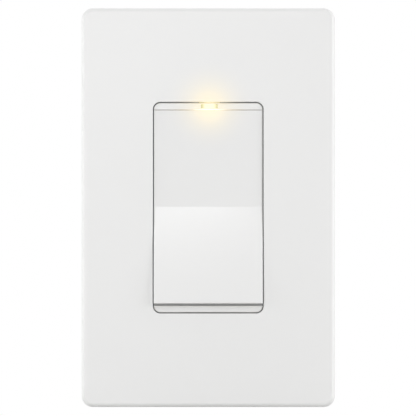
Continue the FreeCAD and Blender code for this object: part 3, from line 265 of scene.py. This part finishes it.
def plated_metal(name, colour, second, gloss, grain_mm=0.25, stretch=None, patch_mm=5):
    """Plated or bare metal: patches of tone, and scratches drawn out along the rolling direction."""
    material, tree, shader = new_material(name, Metallic=1.0)
    place = object_place(tree)
    patches = remap(tree, noise(tree, place, patch_mm, detail=4, roughness=0.6), 0, 1, 0.35, 0.65)
    tree.links.new(mix(tree, patches, srgb(colour), srgb(second)), shader.inputs["Base Color"])
    scratches = noise(tree, place, grain_mm, detail=3, stretch=stretch)
    tree.links.new(remap(tree, scratches, gloss - 0.08, gloss + 0.12, 0.3, 0.7), shader.inputs["Roughness"])
    bump(tree, shader, scratches, 0.006, 0.6)
    return material


def clear_window(name):
    """The clear light pipe: white-hot in the middle of its mouth, warmer towards its ends."""
    material, tree, shader = new_material(name, Roughness=0.12, IOR=1.58, Transmission_Weight=0.25)
    place = object_place(tree)
    edge = remap(tree, lamp_distance(tree, place, 1.4), 0, 1, 1.4 * MM, 2.6 * MM)
    colour = mix(tree, edge, srgb("#fff6d8"), srgb("#d9d59c"))
    tree.links.new(colour, shader.inputs["Base Color"])
    tree.links.new(colour, shader.inputs["Emission Color"])
    tree.links.new(remap(tree, edge, 0.24, 0.1), shader.inputs["Emission Strength"])
    bump(tree, shader, noise(tree, place, 0.6, detail=2), 0.004)
    return material


def lit_lamp(name):
    """The lit lamp's resin: warm white, with amber clouds that shine less evenly."""
    material, tree, shader = new_material(name, Roughness=0.2)
    place = object_place(tree)
    cloud = noise(tree, place, 0.8, detail=2)
    colour = mix(tree, cloud, srgb("#ffe9a8"), srgb("#ffd873"))
    tree.links.new(colour, shader.inputs["Base Color"])
    tree.links.new(colour, shader.inputs["Emission Color"])
    tree.links.new(remap(tree, cloud, 1.2, 1.8), shader.inputs["Emission Strength"])
    return material


def lacquered(name, colour, second, gloss, patch_mm=3):
    """A lacquered or insulated surface with a slight flow in its tone and gloss."""
    material, tree, shader = new_material(name, Coat_Weight=0.25, Coat_Roughness=0.2)
    place = object_place(tree)
    cloud = noise(tree, place, patch_mm, detail=3)
    tree.links.new(mix(tree, cloud, srgb(colour), srgb(second)), shader.inputs["Base Color"])
    tree.links.new(remap(tree, cloud, gloss - 0.05, gloss + 0.05), shader.inputs["Roughness"])
    bump(tree, shader, noise(tree, place, 0.4, detail=3), 0.003)
    return material


def dress(material, *names):
    """Gives the named CAD nodes their material."""
    for name in names:
        for slot in NODES[name].material_slots:
            slot.material = material


def dress_switch():
    """Gives every CAD node the material of its real piece."""
    # Each white plastic darkens towards its deep colour as painted shade in gaps; the glowing ones carry
    # the lamp's painted halo, and bleed and gap_light set painted glow in their gaps.
    cover_white = white_plastic(
        "satin_white_polycarbonate_cover",
        FACE_COLOUR,
        grain_mm=0.5,
        gloss=0.34,
        glowing=True,
        gap_light=1.1,
    )
    frame_white = white_plastic(
        "satin_white_polycarbonate_frame",
        FACE_COLOUR,
        grain_mm=0.4,
        gloss=0.3,
        glowing=True,
        deep="#9a9a98",
        reach_mm=3,
        clear=0.95,
        bleed=0.3,
    )
    paddle_white = white_plastic(
        "polished_white_polycarbonate_paddle",
        FACE_COLOUR,
        grain_mm=0.6,
        gloss=0.15,
        glowing=True,
        deep="#b8b8b6",
        bleed=0.22,
    )
    bracket_white = white_plastic(
        "matte_white_abs_bracket",
        "#e4e4e1",
        grain_mm=0.3,
        gloss=0.5,
        glowing=False,
    )
    dress(cover_white, "wall_plate")
    dress(frame_white, "face_frame")
    dress(paddle_white, "paddle")
    dress(bracket_white, "wall_plate_bracket")
    dress(moulded("grey_phenolic_body", "#3b3d40", "#45474a", 0.35, 0.5, 0.012), "back_body")
    dress(moulded("natural_acetal_plunger", "#eeece2", "#e2dfd2", 0.5, 0.35, 0.004), "plunger")
    dress(moulded("vulcanised_red_fibre", "#8a3226", "#6f261d", 0.2, 0.75, 0.015), "screw_retainers")
    rolled = (0.12, 1, 1)
    dress(plated_metal("zinc_plated_steel_strap", "#9a9ea1", "#868b8f", 0.5, stretch=rolled), "strap")
    clamps = ("line_clamp_plate", "load_clamp_plate", "neutral_clamp_plate")
    dress(plated_metal("zinc_plated_clamp_plates", "#bfc1bd", "#a9aca9", 0.36), *clamps)
    screws = ("box_screws", "assembly_screws")
    dress(plated_metal("zinc_plated_screws", "#c9c9c4", "#b1b3b0", 0.3, patch_mm=2), *screws)
    dress(lacquered("white_painted_screws", "#ecece9", "#e2e2de", 0.35), "bracket_screws")
    dress(plated_metal("green_dyed_ground_screw", "#2f8a4c", "#1f6b39", 0.34, patch_mm=2), "ground_screw")
    brass_parts = ("line_terminal", "load_terminal", "neutral_terminal", "contact_arm")
    dress(plated_metal("rolled_brass_strip", "#d6b25e", "#b98f42", 0.3, stretch=rolled), *brass_parts)
    dress(plated_metal("turned_brass_screws", "#d9b768", "#bd9449", 0.27, patch_mm=2), "terminal_screws")
    dress(plated_metal("nickel_plated_screw", "#cfcac0", "#b7b2a9", 0.24, patch_mm=2), "neutral_screw")
    contacts = ("fixed_contact", "moving_contact")
    dress(plated_metal("silver_alloy_contacts", "#e4e2dd", "#c6c4bf", 0.35, patch_mm=1), *contacts)
    dress(plated_metal("drawn_spring_steel", "#8f9398", "#777b80", 0.22, patch_mm=2), "plunger_spring")
    dress(clear_window("clear_polycarbonate_light_pipe"), "lamp_window")
    dress(lit_lamp("lit_lamp_resin"), "lamp")
    dress(lacquered("green_solder_mask_board", "#1f5a35", "#184a2b", 0.4), "lamp_board")
    dress(lacquered("tan_lacquered_resistor", "#c9a877", "#bb9765", 0.4, 1.5), "lamp_resistor")
    dress(lacquered("black_epoxy_diode", "#1c1c1e", "#27272a", 0.35, 1.5), "lamp_diode")
    dress(lacquered("black_pvc_lead", "#1b1b1c", "#262628", 0.4), "lamp_lead_load")
    dress(lacquered("white_pvc_lead", "#e6e6e2", "#dadad5", 0.4), "lamp_lead_neutral")


def thread_nodes(material):
    """A node group that makes a screw thread: a helix about Z, swept by a three-sided ridge."""
    tree = bpy.data.node_groups.new("screw_thread", "GeometryNodeTree")
    tree.interface.new_socket("Geometry", in_out="OUTPUT", socket_type="NodeSocketGeometry")
    for name in ("Radius", "Pitch", "Length", "Ridge"):
        tree.interface.new_socket(name, in_out="INPUT", socket_type="NodeSocketFloat")
    asked = add_node(tree, "NodeGroupInput").outputs
    turns = arithmetic(tree, "DIVIDE", asked["Length"], asked["Pitch"])
    helix = add_node(
        tree,
        "GeometryNodeCurveSpiral",
        values={"Resolution": 28},
        links={
            "Rotations": turns,
            "Start Radius": asked["Radius"],
            "End Radius": asked["Radius"],
            "Height": asked["Length"],
        },
    )
    ridge = add_node(
        tree,
        "GeometryNodeCurvePrimitiveCircle",
        values={"Resolution": 3},
        links={"Radius": asked["Ridge"]},
    )
    sweep = add_node(
        tree,
        "GeometryNodeCurveToMesh",
        values={"Fill Caps": True},
        links={"Curve": helix.outputs["Curve"], "Profile Curve": ridge.outputs["Curve"]},
    )
    painted = add_node(
        tree,
        "GeometryNodeSetMaterial",
        values={"Material": material},
        links={"Geometry": sweep.outputs["Mesh"]},
    )
    add_node(tree, "NodeGroupOutput", links={"Geometry": painted.outputs["Geometry"]})
    return tree


def thread_mesh(group, length_mm):
    """The thread's finished mesh, with its normals turned outward."""
    carrier = bpy.data.objects.new("thread_carrier", bpy.data.meshes.new("thread_carrier"))
    bpy.context.scene.collection.objects.link(carrier)
    modifier = carrier.modifiers.new("thread", "NODES")
    modifier.node_group = group
    sizes = {
        "Radius": THREAD_RADIUS,
        "Pitch": THREAD_PITCH,
        "Length": length_mm,
        "Ridge": THREAD_RIDGE,
    }
    for item in group.interface.items_tree:
        if item.in_out == "INPUT":
            modifier[item.identifier] = sizes[item.name] * MM
    bpy.context.view_layer.update()
    graph = bpy.context.evaluated_depsgraph_get()
    mesh = bpy.data.meshes.new_from_object(carrier.evaluated_get(graph))
    bpy.data.objects.remove(carrier)
    shell = bmesh.new()
    shell.from_mesh(mesh)
    bmesh.ops.recalc_face_normals(shell, faces=shell.faces)
    shell.to_mesh(mesh)
    shell.free()
    return mesh


def cut_threads():
    """Rolled threads on the free shanks of the box, cover and ground screws."""
    inward = Matrix.Rotation(math.radians(-90), 4, "X")
    sideways = Matrix.Rotation(math.radians(90), 4, "Y")
    steel = plated_metal("rolled_thread_zinc", "#bdbdb8", "#a3a5a2", 0.34, patch_mm=2)
    green = plated_metal("rolled_thread_green", "#2c8147", "#1c6335", 0.38, patch_mm=2)
    pale = lacquered("rolled_thread_white", "#e6e6e3", "#dadad6", 0.4)
    # Each thread's name, material, start, direction and length in millimetres, and slot.
    threads = [
        ("upper_box_screw_thread", steel, (0, 0.9, BOX_SCREW_Z), inward, 16.4, "plated_screw"),
        ("lower_box_screw_thread", steel, (0, 0.9, -BOX_SCREW_Z), inward, 16.4, "plated_screw"),
        ("upper_cover_screw_thread", pale, (0, 0.4, COVER_SCREW_Z), inward, 3.5, "white_screw"),
        ("lower_cover_screw_thread", pale, (0, 0.4, -COVER_SCREW_Z), inward, 3.5, "white_screw"),
        ("ground_screw_thread", green, (-18.2, 5.4, -39.5), sideways, 7.1, "green_screw"),
    ]
    for name, material, start, turn, length, slot in threads:
        mesh = thread_mesh(thread_nodes(material), length)
        place = Matrix.Translation(Vector(start) * MM)
        mesh.transform(place @ turn)
        piece = bpy.data.objects.new(name, mesh)
        bpy.context.scene.collection.objects.link(piece)
        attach(piece, "switch")


def area_light(name, place, aim, width, height, power):
    """One white box lamp that faces the point it aims at."""
    data = bpy.data.lights.new(name, "AREA")
    data.shape = "RECTANGLE"
    data.size = width
    data.size_y = height
    data.energy = power
    light = bpy.data.objects.new(name, data)
    light.location = place
    light.rotation_euler = (Vector(aim) - Vector(place)).to_track_quat("-Z", "Y").to_euler()
    bpy.context.scene.collection.objects.link(light)


def light_studio():
    """A pale room that is brighter above, boxes at both sides and a small one over the face.

    Straight, mirrored and transmitted views of the room show plain white.
    """
    world = bpy.data.worlds.new("white_studio")
    bpy.context.scene.world = world
    world.use_nodes = True
    tree = world.node_tree
    tree.nodes.clear()
    direction = add_node(tree, "ShaderNodeTexCoord").outputs["Generated"]
    axes = add_node(tree, "ShaderNodeSeparateXYZ", links={"Vector": direction})
    height = remap(tree, axes.outputs["Z"], 0.36, 1.46, -0.9, 0.9)
    depth = remap(tree, axes.outputs["Y"], 0.42, 0.9, -0.3, 0.4)
    level = arithmetic(tree, "MULTIPLY", height, depth)
    white = {"Color": (1, 1, 1, 1)}
    lit = add_node(tree, "ShaderNodeBackground", values=white, links={"Strength": level})
    seen = add_node(tree, "ShaderNodeBackground", values=dict(white, Strength=1.0))
    rays = add_node(tree, "ShaderNodeLightPath").outputs
    share = rays["Is Camera Ray"]
    for name in ("Is Glossy Ray", "Is Transmission Ray"):
        share = arithmetic(tree, "MAXIMUM", share, rays[name])
    chosen = add_node(tree, "ShaderNodeMixShader", links={0: share})
    tree.links.new(lit.outputs[0], chosen.inputs[1])
    tree.links.new(seen.outputs[0], chosen.inputs[2])
    add_node(tree, "ShaderNodeOutputWorld", links={"Surface": chosen.outputs[0]})
    for name, settings in LAMPS.items():
        area_light(name, *settings)


def lay_floor():
    """A plain pale floor below the camera's view.

    Light that bounces off it comes back dimmer than it looks, and dimmest right under the switch.
    """
    mesh = bpy.data.meshes.new("floor")
    reach = FLOOR_REACH
    corners = [(-reach, -reach), (reach, -reach), (reach, reach), (-reach, reach)]
    mesh.from_pydata([(x, y, FLOOR_Z) for x, y in corners], [], [(0, 1, 2, 3)])
    floor = bpy.data.objects.new("floor", mesh)
    bpy.context.scene.collection.objects.link(floor)
    material, tree, shader = new_material("pale_floor")
    place = object_place(tree)
    pale = mix(tree, noise(tree, place, 60, detail=3), srgb("#f2f2f0"), srgb("#ebebe9"))
    even = remap(tree, vector_length(tree, place), 0, 1, BOUNCE_DIM, BOUNCE_EVEN)
    shaded = mix(tree, even, srgb("#2c2c2c"), srgb("#c8c8c6"))
    bounced = add_node(tree, "ShaderNodeLightPath").outputs["Is Diffuse Ray"]
    tree.links.new(mix(tree, bounced, pale, shaded), shader.inputs["Base Color"])
    shader.inputs["Roughness"].default_value = 0.7
    mesh.materials.append(material)


def set_camera():
    """Straight in front of the face, with a long lens."""
    data = bpy.data.cameras.new("camera")
    data.sensor_width = SENSOR
    data.lens = SENSOR * CAMERA_DISTANCE / VIEW_HEIGHT
    data.clip_start = 0.01
    camera = bpy.data.objects.new("camera", data)
    camera.location = (-0.07 * MM, FACE_Y - CAMERA_DISTANCE, -0.1 * MM)
    camera.rotation_euler = (math.radians(90), 0, 0)
    bpy.context.scene.collection.objects.link(camera)
    bpy.context.scene.camera = camera


set_camera()
bpy.context.scene.view_settings.view_transform = "Standard"
dress_switch()
cut_threads()
light_studio()
lay_floor()
